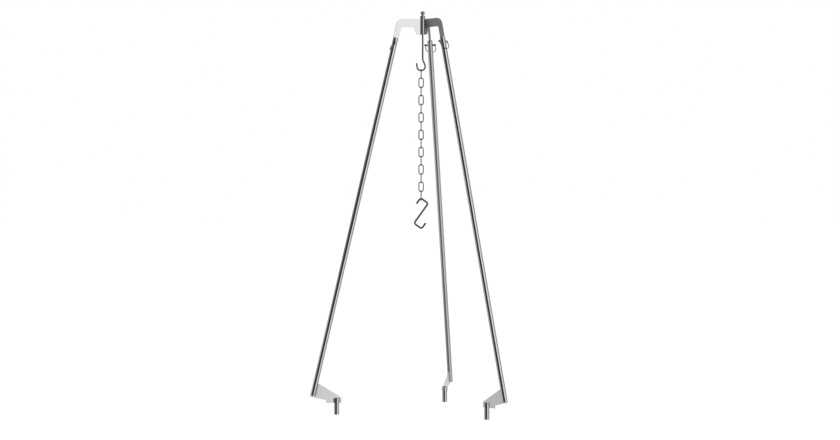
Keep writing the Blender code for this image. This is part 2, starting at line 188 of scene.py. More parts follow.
class TripodHubSizes(bpy.types.PropertyGroup):
    """Sizes of the hub and of what turns in it."""
    sleeve: length("Sleeve Diameter", "Outside diameter of the hub sleeve", 0.017)
    bore: length("Sleeve Bore", "Inside diameter of the hub sleeve", 0.0068)
    collar: length("Collar Diameter", "Outside diameter of the stop collar", 0.019)
    knob: length("Knob Diameter", "Diameter of the knob's ball", 0.016)
    neck: length("Knob Neck", "Diameter of the knob's neck", 0.0095)
    edge: length("Broken Edge", "Width of the broken edges", 0.0006)
    plate_edge: length("Plate Edge", "Rounding of the plates' edges", 0.0004)


class TripodHookSizes(bpy.types.PropertyGroup):
    """Sizes of the hooked rod."""
    rod: length("Rod Diameter", "Diameter of the hook's wire", 0.006)
    radius: length("Bowl Radius", "Bend radius of the hook's bowl", 0.0155)
    offset: length("Bowl Offset", "From the rod's axis to the middle of the bowl", 0.006)
    neck_radius: length("Neck Radius", "Bend radius where the rod leaves its axis", 0.012)
    neck_angle: angle("Neck Angle", "Turn where the rod leaves its axis", 22.5)
    tip: length("Tip Length", "Straight length at the hook's tip", 0.0147)
    flare: angle("Tip Flare", "How far the tip leans from upright", 6)


class TripodPinSizes(bpy.types.PropertyGroup):
    """Sizes of the locking pins and their wire bails."""
    diameter: length("Pin Diameter", "Diameter of a locking pin", 0.008)
    pin_length: length("Pin Length", "Length of a locking pin", 0.045)
    end_to_hole: length("End To Hole", "From a pin's end to the middle of its wire hole", 0.0035)
    wire: length("Bail Wire", "Diameter of a bail's wire", 0.003)
    depth: length("Bail Depth", "From the pin's axis to the wire's middle at the bow", 0.033)
    bow: length("Bow Radius", "Radius of a bail's bow", 0.0205)
    corner: length("Corner Radius", "Bend radius below a pin's end", 0.002)
    proud: length("Wire End", "How far the wire stands out of the pin", 0.0015)


class TripodFootSizes(bpy.types.PropertyGroup):
    """Sizes of the feet."""
    peg: length("Peg Diameter", "Outside diameter of a peg", 0.020)
    wall: length("Peg Wall", "Wall thickness of a peg", 0.0015)
    floor: length("Peg End", "Thickness of a peg's closed end", 0.003)
    chamfer: length("Peg Chamfer", "Chamfer round a peg's lower end", 0.001)
    socket: length("Socket Diameter", "Outside diameter of a socket", 0.023)
    edge: length("Broken Edge", "Width of the broken edges", 0.0003)


class TripodChainSizes(bpy.types.PropertyGroup):
    """Sizes of the chain and the S hook."""
    wire: length("Chain Wire", "Diameter of the links' wire", 0.004)
    inner_length: length("Inner Length", "Inside length of a link", 0.0332)
    inner_width: length("Inner Width", "Inside width of a link", 0.0127)
    weld_length: length("Weld Length", "Length of a link's weld", 0.0032)
    weld_swell: share("Weld Swell", "How much thicker a link is at its weld", 1.11, 1.5)
    s_wire: length("S Hook Wire", "Diameter of the S hook's wire", 0.007)
    s_half: length("S Hook Half Length", "From the S hook's middle to its cross runs", 0.0465)
    s_width: length("S Hook Width", "From the S hook's long run to a tip", 0.0355)
    s_bend: length("S Hook Bend", "Bend radius of the S hook's corners", 0.008)
    s_tip: length("S Hook Tip", "From a cross run to the end of a tip", 0.027)


class TripodWeldSizes(bpy.types.PropertyGroup):
    """Sizes of the weld beads."""
    bead: length("Bead Radius", "Radius of a weld bead", 0.0012)
    ripple: length("Ripple Pitch", "From one ripple of a bead to the next", 0.0016)
    dip: share("Ripple Dip", "A bead's thickness between ripples, as a share", 0.84)


class TripodFinish(bpy.types.PropertyGroup):
    """Colours and roughness of the steels."""
    tube: colour("Tube Colour", "Polished tube", (0.70, 0.70, 0.705))
    tube_roughness: share("Tube Roughness", "Roughness of the polished tubes", 0.13)
    plate: colour("Plate Colour", "Satin plate", (0.73, 0.73, 0.735))
    plate_roughness: share("Plate Roughness", "Roughness of the flat plates", 0.20)
    turned: colour("Turned Colour", "Turned pieces", (0.52, 0.52, 0.525))
    turned_roughness: share("Turned Roughness", "Roughness of the turned pieces", 0.16)
    # Painted shade: both wire colours sit well below bare steel's. They are darkened to stand in for the dark
    # surroundings that the thin wires mirror, and the hook, bails and S hook are darker still.
    wire: colour("Wire Colour", "Drawn wire", (0.28, 0.28, 0.285))
    shade_darkened_wire: colour("Shade Darkened Wire Colour", "Darker wire of the hook, the bails and the S hook", (0.20, 0.20, 0.205))
    wire_roughness: share("Wire Roughness", "Roughness of the drawn wire", 0.22)
    straw: colour("Straw Tint", "Lighter heat tint on a weld", (0.60, 0.53, 0.43))
    blue: colour("Blue Tint", "Darker heat tint on a weld", (0.36, 0.37, 0.43))
    weld_roughness: share("Weld Roughness", "Roughness of the weld beads", 0.34)


class TripodStudio(bpy.types.PropertyGroup):
    """The camera and the studio's light."""
    lens: bpy.props.FloatProperty(name="Lens", description="Focal length", default=77.59, min=1, unit="CAMERA")
    distance: length("Camera Distance", "From the hub's axis to the camera", 6.880)
    height: length("Camera Height", "Camera's height above the ground", 0.839)
    left: length("Camera Left", "Camera's place to the left of the hub's axis", 0.0103)
    pitch: angle("Camera Pitch", "How far the camera looks down", 0.91)
    tent_radius: length("Tent Radius", "From the tripod to the tent's wall", 5.0)
    tent_height: length("Tent Height", "Height of the tent's wall", 5.2)
    ceiling: share("Ceiling Level", "Brightness of the tent's ceiling behind the tripod", 0.70)
    ceiling_front: share("Ceiling Front Level", "Brightness of the tent's ceiling towards the camera", 0.08)
    tent_glow: share("Tent Glow", "Brightness of the tent's lightest panel", 1.35, 4.0)
    floor_dull: share("Floor Of Its Own", "Brightness that the floor itself has in metal", 0.12)
    floor_mirror: share("Floor Mirror", "How strongly the floor mirrors the tent in metal above it", 0.70)
    floor_glance: share("Floor At A Glance", "How strongly it does so in metal that looks along it", 0.95)
    floor_sheen_from: share("Floor Sheen From", "Where the floor's sheen begins, 1 being along the floor", 0.60)
    floor_sheen_to: share("Floor Sheen To", "Where the floor's sheen is full, 1 being along the floor", 0.85)
    low_from: length("Low Panels From", "Height where the tent's lowest panels begin to fade", 1.3)
    low_to: length("Low Panels To", "Height where the tent's lowest panels end", 1.6)
    floor_white: share("Floor White", "The floor's own white to the camera", 0.94)
    floor_shadow: share("Floor Shadow", "How much the floor's white follows light and shadow", 0.12)
    ambient: share("Ambient Light", "Brightness of the light from all round", 0.9, 4.0)
    key_power: bpy.props.FloatProperty(name="Key Light", description="Power of the soft key light", default=25,
                                       min=0, unit="POWER")


# Brightness of the tent's wall round the tripod, by degrees from the camera's side to the right
TENT_PANELS = (
    (-180, 0.80), (-172, 0.80), (-168, 0.06), (-148, 0.06), (-144, 0.30), (-124, 0.20), (-88, 0.12), (-78, 0.28),
    (-72, 0.24), (-65, 0.03), (-2, 0.025), (12, 0.16), (17, 0.84), (42, 0.84), (56, 0.38), (84, 0.38), (88, 0.10),
    (98, 0.10), (102, 0.40), (124, 0.36), (140, 0.20), (160, 0.20), (170, 0.80), (180, 0.80),
)
# The same for the lowest part of the wall, which the feet see
LOW_PANELS = (
    (-180, 0.80), (-172, 0.80), (-168, 0.08), (-148, 0.08), (-144, 0.40), (-120, 0.34), (-100, 0.54), (-84, 0.58),
    (-74, 0.24), (-64, 0.04), (4, 0.03), (16, 0.05), (21, 0.80), (44, 0.80), (58, 0.42), (84, 0.40), (88, 0.12),
    (98, 0.12), (102, 0.42), (124, 0.46), (140, 0.66), (160, 0.66), (170, 0.80), (180, 0.80),
)


def clear_selection():
    """Leaves edit mode and selects nothing."""
    if bpy.context.mode != "OBJECT":
        bpy.ops.object.mode_set(mode="OBJECT")
    bpy.ops.object.select_all(action="DESELECT")


def pick(obj):
    """Makes one object the only one selected."""
    clear_selection()
    obj.select_set(True)
    bpy.context.view_layer.objects.active = obj
    return obj


def settle(obj):
    """Puts an object's place into its mesh."""
    pick(obj)
    bpy.ops.object.transform_apply(location=True, rotation=True, scale=True)
    return obj


def apply_modifiers(obj):
    """Applies all of an object's modifiers, in order."""
    pick(obj)
    for modifier in list(obj.modifiers):
        bpy.ops.object.modifier_apply(modifier=modifier.name)


def directions(across, depth, up):
    """The turn that takes X, Y and Z to three directions."""
    return Matrix((across, depth, up)).transposed().to_4x4()


def facing(direction):
    """The turn that takes Z to a direction."""
    return direction.to_track_quat("Z", "Y").to_matrix().to_4x4()


def ring(name, radius, point, turn, sides):
    """Adds a ring and leaves it selected in edit mode."""
    clear_selection()
    bpy.ops.mesh.primitive_circle_add(vertices=sides, radius=radius, fill_type="NOTHING", location=point,
                                      rotation=turn.to_euler())
    obj = settle(bpy.context.active_object)
    obj.name = name
    bpy.ops.object.mode_set(mode="EDIT")
    bpy.ops.mesh.select_all(action="SELECT")
    return obj


def step_ring(move, point, scale):
    """Extrudes the selected ring by a move, and resizes it about the point it comes to."""
    bpy.ops.mesh.extrude_region_move(TRANSFORM_OT_translate={"value": move})
    if abs(scale - 1) > MERGE:
        bpy.ops.transform.resize(value=(scale, scale, scale), center_override=point)


def close_ends():
    """Caps the open rings, merges what meets, turns the faces outwards and leaves edit mode."""
    bpy.ops.mesh.select_all(action="SELECT")
    bpy.ops.mesh.remove_doubles(threshold=MERGE)
    bpy.ops.mesh.select_all(action="DESELECT")
    bpy.ops.mesh.select_mode(type="EDGE")
    bpy.ops.mesh.select_non_manifold()
    bpy.ops.mesh.fill_holes(sides=0)
    bpy.ops.mesh.select_all(action="SELECT")
    bpy.ops.mesh.normals_make_consistent(inside=False)
    bpy.ops.object.mode_set(mode="OBJECT")


def turned_piece(name, profile, place, sides=TURNED_SIDES):
    """A turned piece: rings of (radius, height) along its place's Z, one after another."""
    axis = place.to_3x3() @ UP
    radius, height = profile[0]
    obj = ring(name, radius, place @ Vector((0, 0, height)), place, sides)
    for next_radius, next_height in profile[1:]:
        point = place @ Vector((0, 0, next_height))
        step_ring(axis * (next_height - height), point, max(next_radius, MERGE) / radius)
        radius, height = max(next_radius, MERGE), next_height
    close_ends()
    return obj


def bent_wire(name, wire_radius, start, heading, normal, moves, closed=False):
    """A wire bent in one plane by runs (length, ring size) and bends (radius, angle to the left)."""
    point, heading = start.copy(), heading.normalized()
    size = 1.0 if closed else moves[0][2]
    obj = ring(name, wire_radius * size, point, facing(heading), WIRE_SIDES)
    for kind, first, second in moves:
        if kind == "run":
            point = point + heading * first
            step_ring(heading * first, point, second / size)
            size = second
        else:
            centre = point + normal.cross(heading) * math.copysign(first, second)
            steps = max(2, math.ceil(abs(second) / BEND_STEP))
            bpy.ops.mesh.spin(steps=steps, angle=-second, center=centre, axis=normal)
            turn = Matrix.Rotation(second, 3, normal)
            point = centre + turn @ (point - centre)
            heading = turn @ heading
    close_ends()
    return obj


def run(distance, size=1.0):
    """A straight run of a wire, whose ring ends at a share of the wire's size."""
    return ("run", distance, size)


def bend(radius, turn):
    """A bend of a wire, to the left where the angle is positive."""
    return ("bend", radius, turn)


def with_ends(moves, wire_radius):
    """The moves with both ends of the wire rounded over, inside its length."""
    nose = NOSE_LENGTH * wire_radius
    shoulder, rest = NOSE_SHOULDER * nose, (1 - NOSE_SHOULDER) * nose
    first, last = moves[0], moves[-1]
    start = [run(0.0, TIP_SIZE), run(shoulder, SHOULDER_SIZE), run(rest), run(first[1] - nose)]
    end = [run(last[1] - nose), run(rest, SHOULDER_SIZE), run(shoulder, TIP_SIZE)]
    return start + list(moves[1:-1]) + end


def dress(obj, body, finish, slot, *nodes):
    """Gives a finished piece its finish and its body, and hides the CAD nodes it stands for."""
    pick(obj)
    bpy.ops.object.shade_smooth_by_angle(angle=SMOOTH_ANGLE)
    shading = obj.modifiers.new("shading", "WEIGHTED_NORMAL")
    shading.keep_sharp = True
    apply_modifiers(obj)
    obj.data.name = obj.name
    obj.data.materials.clear()
    obj.data.materials.append(finish)
    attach(obj, body)
    if nodes:
        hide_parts(*nodes)
    return obj


def joined(name, pieces):
    """Several meshes as one object."""
    clear_selection()
    for piece in pieces:
        piece.select_set(True)
    bpy.context.view_layer.objects.active = pieces[0]
    bpy.ops.object.join()
    pieces[0].name = name
    return pieces[0]


def take_away(target, cutter):
    """Cuts one mesh out of another and removes the cutter."""
    boolean = target.modifiers.new("cut", "BOOLEAN")
    boolean.operation = "DIFFERENCE"
    boolean.solver = "EXACT"
    boolean.object = cutter
    apply_modifiers(target)
    bpy.data.objects.remove(cutter)


def bar_cutter(radius, depth, point, axis):
    """A round bar that cuts a hole, its middle at a point."""
    clear_selection()
    bpy.ops.mesh.primitive_cylinder_add(vertices=HOLE_SIDES, radius=radius, depth=depth, location=point,
                                        rotation=facing(axis).to_euler())
    return settle(bpy.context.active_object)


def block_cutter(size, point, turn):
    """A block that cuts a slot, its middle at a point."""
    clear_selection()
    bpy.ops.mesh.primitive_cube_add(size=1, location=point, rotation=turn.to_euler(), scale=size)
    return settle(bpy.context.active_object)


def pin_middle(name):
    """The middle of a leg's locking pin."""
    return Vector(JOINTS["pin_%s_turn" % name]["pos_m"])


def away_from_hub(name):
    """The level direction from the hub's axis out along a leg."""
    pin = pin_middle(name)
    return Vector((pin.x - HUB.x, pin.y - HUB.y, 0)).normalized()


def leg_frame(name, sizes):
    """A leg tube's own place: its origin at the middle of the lower end, X away from the hub, Z up the tube."""
    out = away_from_hub(name)
    up = UP * math.cos(sizes.lean) - out * math.sin(sizes.lean)
    outward = out * math.cos(sizes.lean) + UP * math.sin(sizes.lean)
    foot = pin_middle(name) - up * (sizes.tube_length - sizes.pin_from_end)
    return Matrix.Translation(foot) @ directions(outward, up.cross(outward), up)


def upright_frame(name, node):
    """An upright place on a node's axis, at the ground, with X away from the hub in that leg's plane."""
    low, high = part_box(node)
    out = away_from_hub(name)
    middle = Vector(((low.x + high.x) / 2, (low.y + high.y) / 2, 0))
    return Matrix.Translation(middle) @ directions(out, UP.cross(out), UP)


def add_node(tree, kind, **values):
    """Adds a shader node and sets sockets of it, whose names have a space for each underscore here."""
    made = tree.nodes.new("ShaderNode" + kind)
    for name, value in values.items():
        made.inputs[name.replace("_", " ")].default_value = value
    return made


def map_range(tree, value, start, end, low=0, high=1):
    """Turns a value that runs from start to end into one that runs from low to high."""
    made = add_node(tree, "MapRange", From_Min=start, From_Max=end, To_Min=low, To_Max=high)
    tree.links.new(value, made.inputs["Value"])
    return made.outputs["Result"]


def two_tone(tree, factor, first, second):
    """A colour between two others, by a factor."""
    mix = add_node(tree, "Mix")
    mix.data_type = "RGBA"
    mix.inputs["A"].default_value = (*first, 1)
    mix.inputs["B"].default_value = (*second, 1)
    tree.links.new(factor, mix.inputs["Factor"])
    return mix.outputs["Result"]


def steel(name, base, roughness, grain, turn=None, bump=0.08, tone=0.06, wear=0.28):
    """Bare steel: fine grain stretched along the piece, soft cloudiness, and faint wear in the polish."""
    made = bpy.data.materials.new(name)
    made.use_nodes = True
    tree = made.node_tree
    shader = tree.nodes["Principled BSDF"]
    shader.inputs["Metallic"].default_value = 1.0
    place = add_node(tree, "TexCoord")
    straighten = add_node(tree, "VectorRotate")
    straighten.rotation_type = "EULER_XYZ"
    straighten.invert = True
    straighten.inputs["Rotation"].default_value = (turn or Matrix.Identity(4)).to_euler()
    mapping = add_node(tree, "Mapping", Scale=grain)
    lines = add_node(tree, "TexNoise", Scale=1.0, Detail=GRAIN_DETAIL, Roughness=GRAIN_ROUGHNESS)
    clouds = add_node(tree, "TexNoise", Scale=CLOUD_SCALE, Detail=CLOUD_DETAIL)
    smear = add_node(tree, "Math")
    smear.operation = "MULTIPLY_ADD"
    smear.inputs[1].default_value = CLOUD_SHARE
    height = add_node(tree, "Bump", Strength=bump, Distance=GRAIN_DEPTH)
    darker = [channel * (1 - tone) for channel in base]
    lighter = [min(1, channel * (1 + tone)) for channel in base]
    link = tree.links.new
    link(place.outputs["Object"], straighten.inputs["Vector"])
    link(straighten.outputs["Vector"], mapping.inputs["Vector"])
    link(mapping.outputs["Vector"], lines.inputs["Vector"])
    link(place.outputs["Object"], clouds.inputs["Vector"])
    link(clouds.outputs["Fac"], smear.inputs[0])
    link(lines.outputs["Fac"], smear.inputs[2])
    polish = map_range(tree, smear.outputs["Value"], 0, 1, roughness * (1 - wear), roughness * (1 + wear))
    link(polish, shader.inputs["Roughness"])
    link(two_tone(tree, clouds.outputs["Fac"], darker, lighter), shader.inputs["Base Color"])
    link(lines.outputs["Fac"], height.inputs["Height"])
    link(height.outputs["Normal"], shader.inputs["Normal"])
    return made


def plate_steel(name, finish, turn):
    """Satin plate, whose grain is so faint that a flat face reflects as one."""
    return steel(name, finish.plate, finish.plate_roughness, PLATE_GRAIN, turn, bump=0.03, tone=0.015, wear=0.08)


def weld_steel(name, finish):
    """Weld metal, whose colour is patches of straw and blue heat tint."""
    made = steel(name, finish.straw, finish.weld_roughness, WELD_GRAIN, bump=0.25)
    tree = made.node_tree
    place = add_node(tree, "TexCoord")
    patches = add_node(tree, "TexNoise", Scale=TINT_SCALE)
    tree.links.new(place.outputs["Object"], patches.inputs["Vector"])
    tint = two_tone(tree, patches.outputs["Fac"], finish.blue, finish.straw)
    tree.links.new(tint, tree.nodes["Principled BSDF"].inputs["Base Color"])
    return made


def plate_copy(name, node, width):
    """A copy of a flat CAD plate with its triangles merged and its edges rounded."""
    clear_selection()
    copy = frame["nodes"][node].copy()
    copy.data = frame["nodes"][node].data.copy()
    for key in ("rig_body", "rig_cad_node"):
        if key in copy:
            del copy[key]
    copy.parent = None
    bpy.context.scene.collection.objects.link(copy)
    copy.name = name
    pick(copy)
    bpy.ops.object.mode_set(mode="EDIT")
    bpy.ops.mesh.select_all(action="SELECT")
    bpy.ops.mesh.remove_doubles(threshold=MERGE)
    bpy.ops.mesh.dissolve_limited(angle_limit=FLAT_ANGLE)
    bpy.ops.mesh.customdata_custom_splitnormals_clear()
    bpy.ops.object.mode_set(mode="OBJECT")
    edge = copy.modifiers.new("edge", "BEVEL")
    edge.width = width
    edge.segments = BEVEL_SEGMENTS
    edge.limit_method = "ANGLE"
    edge.angle_limit = BEVEL_ANGLE
    apply_modifiers(copy)
    return copy


def tube_profile(outer, inner, low, high, edge):
    """The closed profile of a tube with broken edges."""
    outside = [(outer - edge, low), (outer, low + edge), (outer, high - edge), (outer - edge, high)]
    inside = [(inner + edge, high), (inner, high - edge), (inner, low + edge), (inner + edge, low)]
    return outside + inside + outside[:1]


class TRIPOD_OT_leg_tubes(bpy.types.Operator):
    """Makes the three leg tubes, each with its pin hole and its slot for the foot plate"""
    bl_idname = "tripod.leg_tubes"
    bl_label = "Leg Tubes"

    def execute(self, context):
        sizes, pins = context.scene.tripod_legs, context.scene.tripod_pins
        finish = context.scene.tripod_finish
        radius = sizes.diameter / 2
        profile = tube_profile(radius, radius - sizes.wall, 0, sizes.tube_length, sizes.edge)
        for name in LEGS:
            place = leg_frame(name, sizes)
            tube = turned_piece("polished_leg_" + name, profile, place)
            pin = place @ Vector((0, 0, sizes.tube_length - sizes.pin_from_end))
            take_away(tube, bar_cutter(pins.diameter / 2 + sizes.clearance, sizes.diameter + 2 * CUT_PAST, pin,
                                       place.to_3x3() @ DEPTH))
            wide, tall = radius + CUT_PAST, sizes.slot_height + CUT_PAST
            slot = block_cutter((wide, sizes.plate + 2 * sizes.clearance, tall),
                                place @ Vector((-wide / 2, 0, tall / 2 - CUT_PAST)), place)
            take_away(tube, slot)
            polished = steel("polished_tube_" + name, finish.tube, finish.tube_roughness, LEG_TUBE_GRAIN, place)
            dress(tube, "frame", polished, "polished_tube", "leg_tube_" + name)
        return {"FINISHED"}


class TRIPOD_OT_hub(bpy.types.Operator):
    """Makes the hub sleeve and the three plate arms welded round it"""
    bl_idname = "tripod.hub"
    bl_label = "Hub"

    def execute(self, context):
        sizes, finish = context.scene.tripod_hub, context.scene.tripod_finish
        low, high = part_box("hub_sleeve")
        profile = tube_profile(sizes.sleeve / 2, sizes.bore / 2, low.z, high.z, sizes.edge)
        sleeve = turned_piece("sleeve_of_hub", profile, HUB_AXIS)
        polished = steel("polished_sleeve", finish.tube, finish.tube_roughness, SHORT_TUBE_GRAIN)
        dress(sleeve, "frame", polished, "polished_tube", "hub_sleeve")
        for name in LEGS:
            arm = plate_copy("plate_arm_" + name, "hub_arm_" + name, sizes.plate_edge)
            satin = plate_steel("satin_arm_" + name, finish, upright_frame(name, "hub_arm_" + name))
            dress(arm, "frame", satin, "satin_plate", "hub_arm_" + name)
        return {"FINISHED"}


def stop_collar(scene, turned):
    """The collar that carries the rod on the hub sleeve."""
    hub, bore = scene.tripod_hub, scene.tripod_hook.rod / 2 + scene.tripod_legs.clearance
    low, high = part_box("stop_collar")
    profile = tube_profile(hub.collar / 2, bore, low.z, high.z, hub.edge)
    collar = turned_piece("collar_on_rod", profile, HUB_AXIS)
    dress(collar, "hook", turned, "turned_steel", "stop_collar")


def ball_knob(scene, turned):
    """The ball on its neck, with the blind bore that the rod's upper end sits in."""
    gap = scene.tripod_legs.clearance
    bore = scene.tripod_hook.rod / 2 + gap
    ball, neck = scene.tripod_hub.knob / 2, scene.tripod_hub.neck / 2
    low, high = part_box("top_knob")
    rod_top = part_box("hook_rod")[1].z
    centre = high.z - ball
    lowest = -math.acos(neck / ball)
    profile = [(bore, rod_top + gap), (bore, low.z), (neck - NECK_EDGE, low.z), (neck, low.z + NECK_EDGE)]
    for k in range(KNOB_STEPS):
        around = lowest + (math.pi / 2 - lowest) * k / KNOB_STEPS
        profile.append((ball * math.cos(around), centre + ball * math.sin(around)))
    knob = turned_piece("ball_knob", profile, HUB_AXIS)
    dress(knob, "hook", turned, "turned_steel", "top_knob")


def hooked_rod(scene):
    """The rod down through the sleeve, the knee that takes it aside, and the hook's bowl and tip."""
    sizes, finish = scene.tripod_hook, scene.tripod_finish
    low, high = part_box("hook_rod")
    bowl_z = low.z + sizes.rod / 2 + sizes.radius
    joins_x = sizes.radius * math.cos(sizes.neck_angle) - sizes.offset
    joins_z = bowl_z + sizes.radius * math.sin(sizes.neck_angle)
    knee_z = joins_z + joins_x / math.tan(sizes.neck_angle)
    tangent = sizes.neck_radius * math.tan(sizes.neck_angle / 2)
    slope = joins_x / math.sin(sizes.neck_angle) - tangent
    start = Vector((HUB.x, HUB.y, high.z))
    moves = [run(high.z - knee_z - tangent), bend(sizes.neck_radius, sizes.neck_angle), run(slope),
             bend(sizes.radius, -(math.pi + sizes.neck_angle - sizes.flare)), run(sizes.tip)]
    rod = bent_wire("hooked_rod", sizes.rod / 2, start, -UP, -DEPTH, with_ends(moves, sizes.rod / 2))
    # Painted shade: the rod's colour is darkened to stand in for the dark surroundings it mirrors.
    drawn = steel("drawn_rod", finish.shade_darkened_wire, finish.wire_roughness, WIRE_GRAIN)
    dress(rod, "hook", drawn, "bright_wire", "hook_rod")


class TRIPOD_OT_swivel(bpy.types.Operator):
    """Makes the stop collar, the ball knob and the hooked rod that turn in the hub"""
    bl_idname = "tripod.swivel"
    bl_label = "Swivel And Hook"

    def execute(self, context):
        finish = context.scene.tripod_finish
        turned = steel("turned_steel", finish.turned, finish.turned_roughness, TURNED_GRAIN)
        stop_collar(context.scene, turned)
        ball_knob(context.scene, turned)
        hooked_rod(context.scene)
        return {"FINISHED"}


def pin_directions(name, scene):
    """A pin's own direction, and the one that its bail hangs down in when it rests on the tube."""
    sizes, legs = scene.tripod_pins, scene.tripod_legs
    across, outward, tube = (leg_frame(name, legs).to_3x3() @ v for v in (DEPTH, ACROSS, UP))
    rest = math.asin((legs.diameter / 2 + legs.clearance + sizes.wire / 2) / sizes.depth)
    return across, outward * math.sin(rest) - tube * math.cos(rest)


def lock_pin(name, scene):
    """A pin with broken edges and a wire hole near each end."""
    sizes, finish, edge = scene.tripod_pins, scene.tripod_finish, scene.tripod_hub.edge
    across, down = pin_directions(name, scene)
    middle = pin_middle(name)
    radius, half = sizes.diameter / 2, sizes.pin_length / 2
    profile = [(radius - edge, -half), (radius, edge - half), (radius, half - edge), (radius - edge, half)]
    pin = turned_piece("cross_pin_" + name, profile, Matrix.Translation(middle) @ facing(across))
    for side in (1, -1):
        hole = middle + across * side * (half - sizes.end_to_hole)
        take_away(pin, bar_cutter(sizes.wire / 2 + scene.tripod_legs.clearance, sizes.diameter + 2 * CUT_PAST,
                                  hole, down))
    turned = steel("turned_pin_" + name, finish.turned, finish.turned_roughness, TURNED_GRAIN, facing(across))
    dress(pin, "pin_" + name, turned, "turned_steel", "lock_pin_" + name)


def wire_bail(name, scene):
    """The wire ring from one end of a pin to the other."""
    sizes, finish = scene.tripod_pins, scene.tripod_finish
    across, down = pin_directions(name, scene)
    hole = sizes.pin_length / 2 - sizes.end_to_hole
    spread = math.acos((hole + sizes.corner) / (sizes.bow + sizes.corner))
    leg_end = sizes.bow - sizes.depth + (sizes.bow + sizes.corner) * math.sin(spread)
    top = sizes.diameter / 2 + sizes.proud
    ends, full = run(top - leg_end), math.pi + 2 * spread
    moves = [ends, bend(sizes.corner, spread), bend(sizes.bow, -full), bend(sizes.corner, spread), ends]
    start = pin_middle(name) + across * hole - down * top
    bail = bent_wire("wire_bail_" + name, sizes.wire / 2, start, down, down.cross(across),
                     with_ends(moves, sizes.wire / 2))
    # Painted shade: the bails' colour is darkened to stand in for the dark surroundings they mirror.
    drawn = steel("drawn_bail_" + name, finish.shade_darkened_wire, finish.wire_roughness, WIRE_GRAIN,
                  leg_frame(name, scene.tripod_legs))
    dress(bail, "pin_" + name, drawn, "bright_wire", "pin_bail_" + name)


class TRIPOD_OT_lock_pins(bpy.types.Operator):
    """Makes the locking pins through the tubes and the wire bails through the pins"""
    bl_idname = "tripod.lock_pins"
    bl_label = "Locking Pins"

    def execute(self, context):
        for name in LEGS:
            lock_pin(name, context.scene)
            wire_bail(name, context.scene)
        return {"FINISHED"}


def peg_socket(name, scene, polished):
    """The short tube that a foot plate ends in."""
    sizes, place = scene.tripod_feet, upright_frame(name, "foot_peg_" + name)
    bore = sizes.peg / 2 + scene.tripod_legs.clearance
    low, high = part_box("foot_socket_" + name)
    profile = tube_profile(sizes.socket / 2, bore, low.z, high.z, sizes.edge)
    socket = turned_piece("socket_ring_" + name, profile, place)
    dress(socket, "frame", polished, "polished_tube", "foot_socket_" + name)


def standing_peg(name, scene, turned):
    """The peg in its socket: a tube, open above and closed on the ground."""
    sizes, place = scene.tripod_feet, upright_frame(name, "foot_peg_" + name)
    radius, edge, corner = sizes.peg / 2, sizes.edge, CHAMFER_CORNER * sizes.chamfer
    bore, top = radius - sizes.wall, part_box("foot_peg_" + name)[1].z
    profile = [(bore, sizes.floor), (bore, top - edge), (bore + edge, top), (radius - edge, top),
               (radius, top - edge), (radius, sizes.chamfer), (radius - corner, corner),
               (radius - sizes.chamfer, 0)]
    peg = turned_piece("standing_peg_" + name, profile, place)
    dress(peg, "frame", turned, "turned_steel", "foot_peg_" + name)


class TRIPOD_OT_feet(bpy.types.Operator):
    """Makes the foot plates, the sockets in them and the capped pegs"""
    bl_idname = "tripod.feet"
    bl_label = "Feet"

    def execute(self, context):
        hub, finish = context.scene.tripod_hub, context.scene.tripod_finish
        polished = steel("polished_socket", finish.tube, finish.tube_roughness, SHORT_TUBE_GRAIN)
        turned = steel("turned_peg", finish.tube, finish.turned_roughness, TURNED_GRAIN)
        for name in LEGS:
            peg_socket(name, context.scene, polished)
            standing_peg(name, context.scene, turned)
            plate = plate_copy("plate_foot_" + name, "foot_plate_" + name, hub.plate_edge)
            satin = plate_steel("satin_foot_" + name, finish, upright_frame(name, "foot_peg_" + name))
            dress(plate, "frame", satin, "satin_plate", "foot_plate_" + name)
        return {"FINISHED"}


class TRIPOD_OT_chain(bpy.types.Operator):
    """Makes the welded chain, each link a quarter turn from the next"""
    bl_idname = "tripod.chain"
    bl_label = "Chain"

    def execute(self, context):
        sizes, finish = context.scene.tripod_chain, context.scene.tripod_finish
        # Painted shade: the links' colour is darkened to stand in for the dark surroundings they mirror.
        drawn = steel("drawn_links", finish.wire, finish.wire_roughness, LINK_GRAIN)
        bow = (sizes.inner_width + sizes.wire) / 2
        straight = sizes.inner_length + sizes.wire - 2 * bow
        weld, swell = sizes.weld_length, sizes.weld_swell
        plain = (straight - weld) / 2
        swelling, swollen = SWELL_SHARE * weld, (1 - 2 * SWELL_SHARE) * weld
        moves = [run(straight / 2), bend(bow, math.pi), run(plain), run(swelling, swell), run(swollen, swell),
                 run(swelling), run(plain), bend(bow, math.pi), run(straight / 2)]
        for k, node in enumerate(LINKS):
            low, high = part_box(node)
            across = DEPTH if k % 2 == 0 else ACROSS
            start = (low + high) / 2 + across * bow
            number = node[-2:]
            link = bent_wire("link_wire_" + number, sizes.wire / 2, start, UP, across.cross(UP), moves, closed=True)
            dress(link, "link_" + number, drawn, "bright_wire", node)
        return {"FINISHED"}


